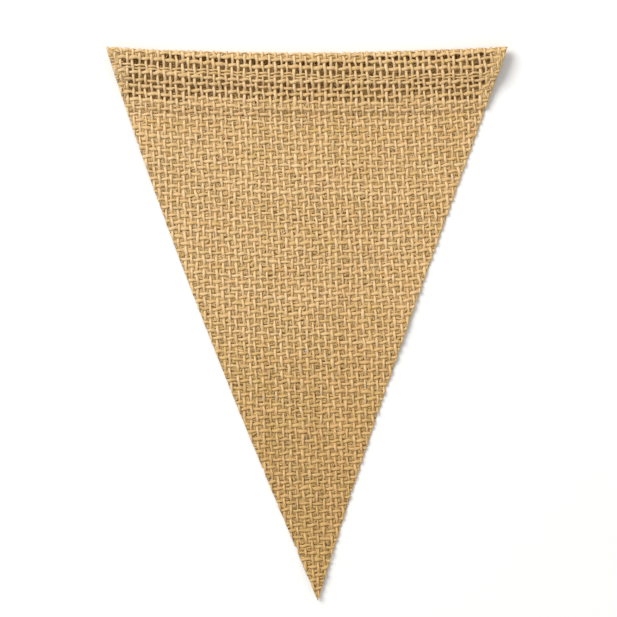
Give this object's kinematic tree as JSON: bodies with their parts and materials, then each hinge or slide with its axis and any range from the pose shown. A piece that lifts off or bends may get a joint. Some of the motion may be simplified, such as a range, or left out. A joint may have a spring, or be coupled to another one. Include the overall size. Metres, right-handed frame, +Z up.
{
  "type": "burlap bunting pennant",
  "caption": "Plain triangular bunting pennant of coarse woven jute, with its top folded to the back as a flat channel for a hanging string.",
  "frame": {"origin": "on the surface that the pennant lies on, in the middle of its width and depth box, so the box's lowest face is at z 0", "axes": "+X across the pennant, +Y from the tip to the folded top, +Z up from the surface, out of the pennant's front"},
  "size_m": [0.126, 0.174, 0.0055],
  "materials": {
    "jute_hessian": "matte, open plain weave of natural undyed jute yarn"
  },
  "bodies": {
    "root": {"pennant_cloth": "jute_hessian"}
  },
  "joints": []
}
